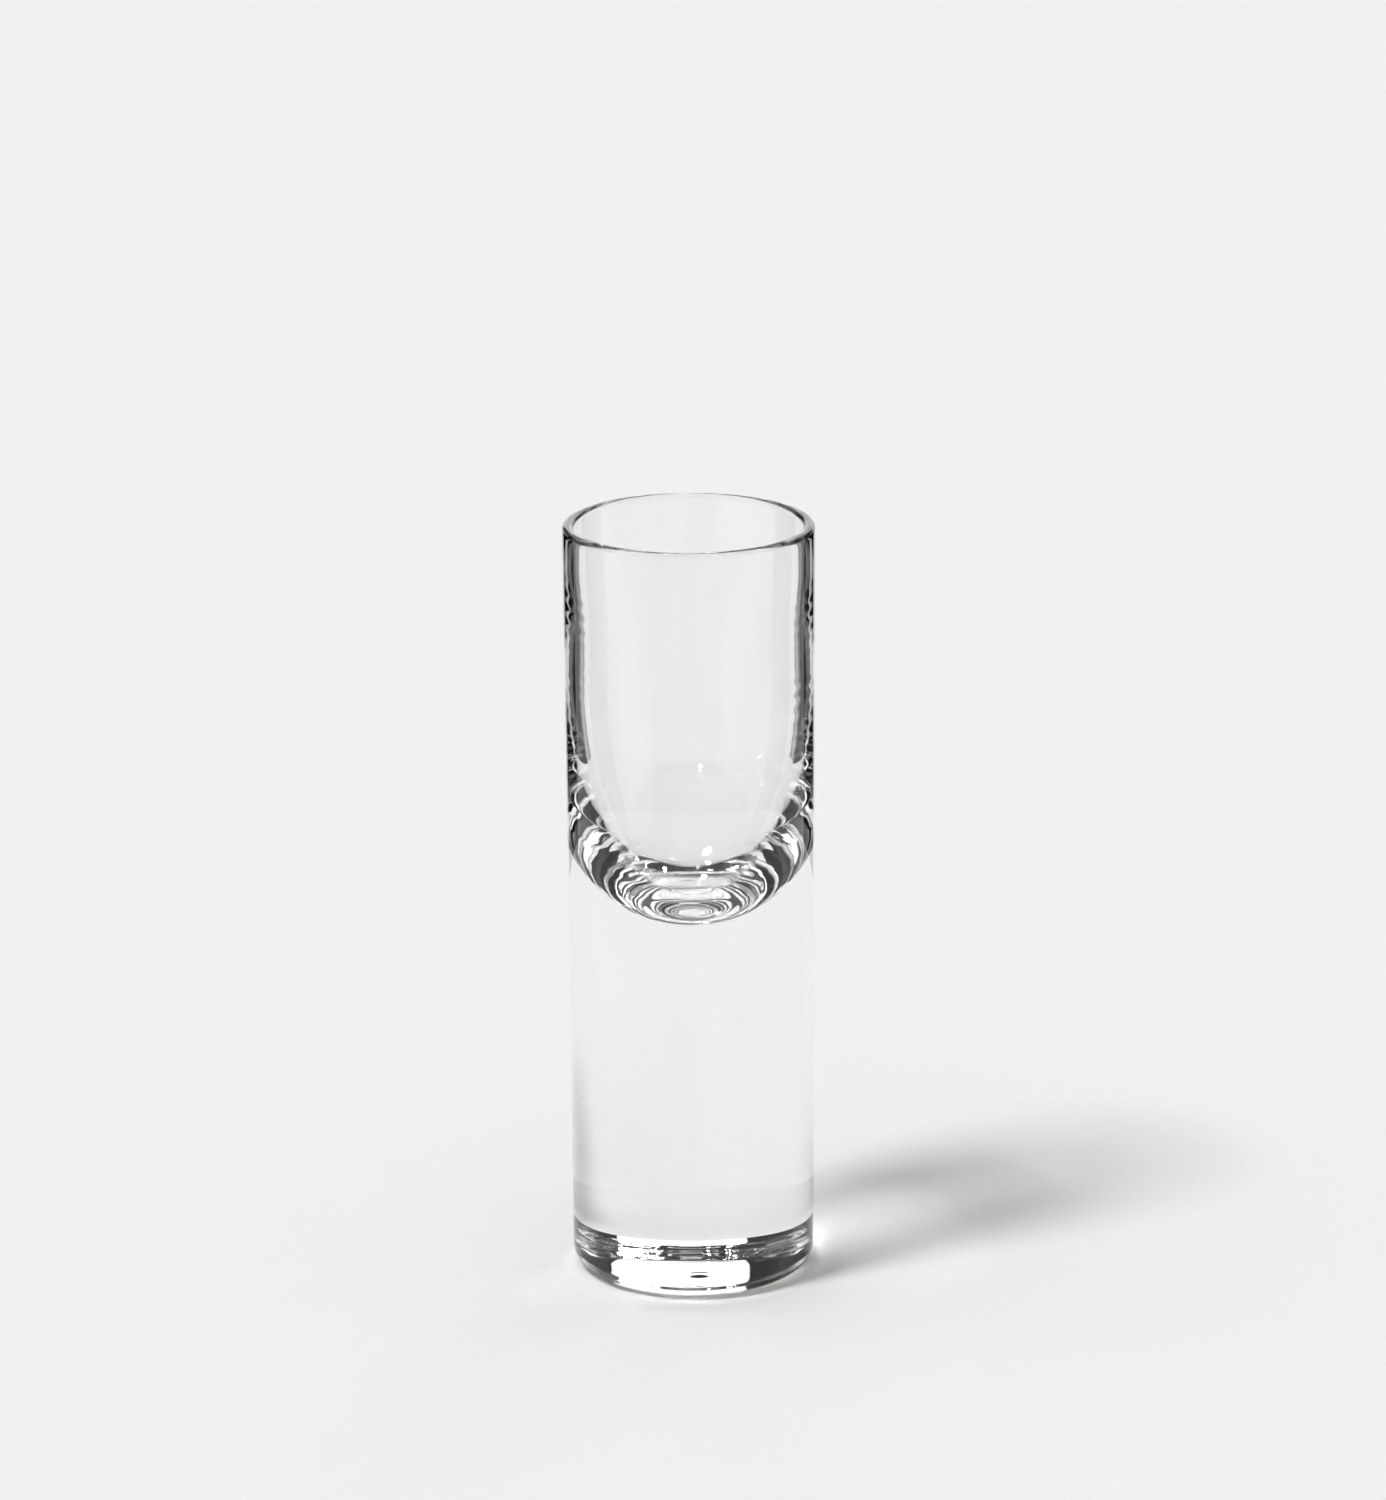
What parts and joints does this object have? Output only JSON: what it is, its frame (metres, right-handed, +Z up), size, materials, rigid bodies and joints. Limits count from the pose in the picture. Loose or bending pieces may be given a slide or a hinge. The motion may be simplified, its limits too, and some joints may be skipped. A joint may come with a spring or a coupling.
{
  "type": "vodka glass",
  "caption": "Tall straight drinking glass of clear glass for spirits, with a thin-walled round-bottomed bowl in its upper half above a heavy solid foot.",
  "frame": {"origin": "middle of the resting ring under the foot, on the surface that the glass stands on", "axes": "+Z up along the axis of the glass; the glass is round, so X and Y are free"},
  "size_m": [0.04, 0.04, 0.124],
  "materials": {
    "clear_glass": "clear, colourless, fire polished"
  },
  "bodies": {
    "root": {"glass_body": "clear_glass"}
  },
  "joints": []
}
